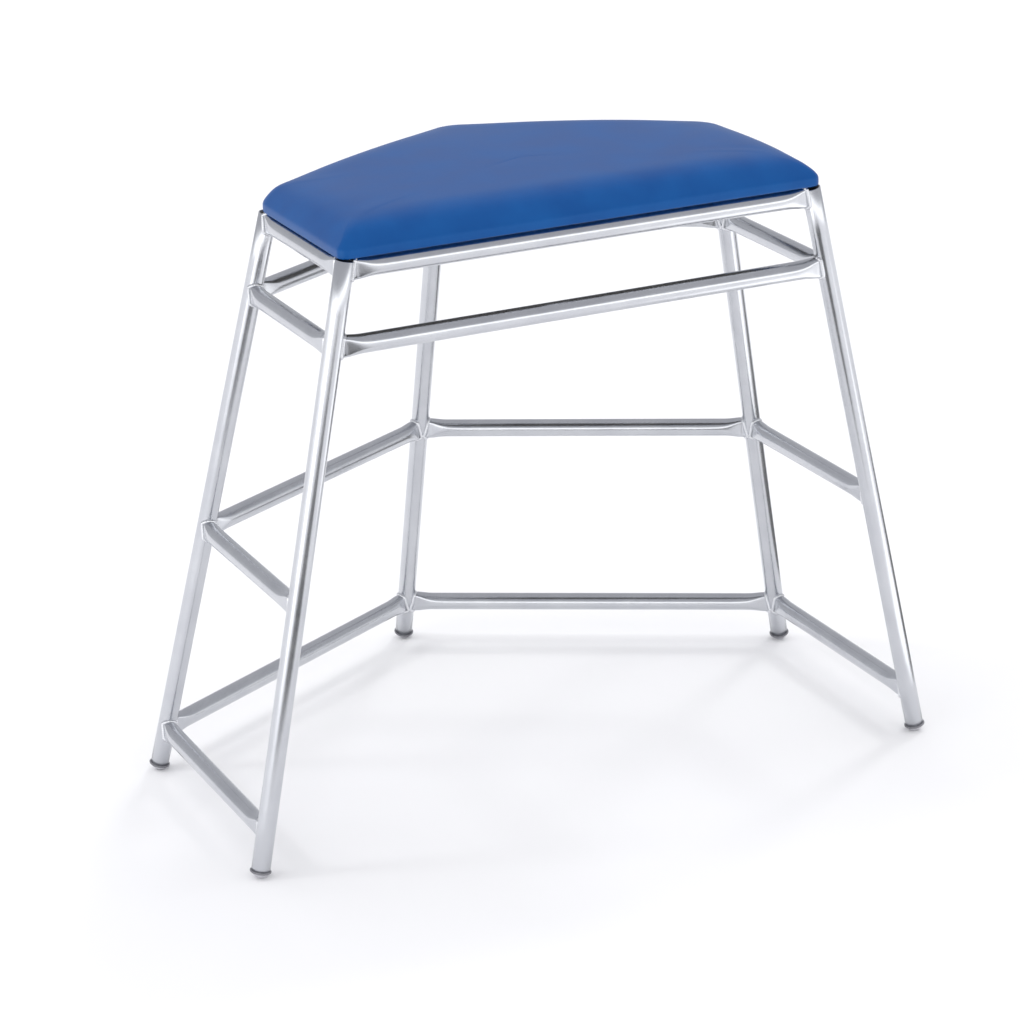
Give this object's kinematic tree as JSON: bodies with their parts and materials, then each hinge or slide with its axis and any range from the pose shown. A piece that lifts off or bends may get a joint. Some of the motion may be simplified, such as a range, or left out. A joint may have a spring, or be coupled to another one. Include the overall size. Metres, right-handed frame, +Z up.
{
  "type": "padded gymnastics table",
  "caption": "Free-standing padded agility table: splayed welded tube legs, rings of rails for climbing and hooking on, open front for nesting, flat cushioned top.",
  "frame": {"origin": "on the floor, at the centre of the overall plan", "axes": "+X along the open front side, to the right as seen from the front; +Y from the open front to the back leg; +Z up"},
  "size_m": [1.0814, 0.7546, 0.915],
  "materials": {
    "silver_tube": "silver metallic, satin gloss",
    "foot_plastic": "light grey moulded plastic",
    "foot_rubber": "dark grey rubber",
    "cap_plastic": "black moulded plastic",
    "plated_screw": "bright zinc plated",
    "plywood": "plain plywood",
    "foam": "open cell foam block",
    "vinyl": "royal blue coated vinyl, soft sheen"
  },
  "bodies": {
    "root": {"leg_front_left": "silver_tube", "leg_side_left": "silver_tube", "leg_back": "silver_tube", "leg_side_right": "silver_tube", "leg_front_right": "silver_tube", "rail_top_front": "silver_tube", "rail_top_left": "silver_tube", "rail_top_back_left": "silver_tube", "rail_top_back_right": "silver_tube", "rail_top_right": "silver_tube", "rail_upper_front": "silver_tube", "rail_upper_left": "silver_tube", "rail_upper_back_left": "silver_tube", "rail_upper_back_right": "silver_tube", "rail_upper_right": "silver_tube", "rail_middle_left": "silver_tube", "rail_middle_back_left": "silver_tube", "rail_middle_back_right": "silver_tube", "rail_middle_right": "silver_tube", "rail_lower_left": "silver_tube", "rail_lower_back_left": "silver_tube", "rail_lower_back_right": "silver_tube", "rail_lower_right": "silver_tube", "foot_front_left": "foot_plastic", "foot_side_left": "foot_plastic", "foot_back": "foot_plastic", "foot_side_right": "foot_plastic", "foot_front_right": "foot_plastic", "foot_ring_front_left": "foot_rubber", "foot_ring_side_left": "foot_rubber", "foot_ring_back": "foot_rubber", "foot_ring_side_right": "foot_rubber", "foot_ring_front_right": "foot_rubber", "cap_front_left": "cap_plastic", "cap_side_left": "cap_plastic", "cap_back": "cap_plastic", "cap_side_right": "cap_plastic", "cap_front_right": "cap_plastic", "lug_front": "silver_tube", "lug_left": "silver_tube", "lug_back_left": "silver_tube", "lug_back_right": "silver_tube", "lug_right": "silver_tube", "pad_screws": "plated_screw", "pad_board": "plywood", "pad_foam": "foam", "pad_cover": "vinyl"}
  },
  "joints": []
}
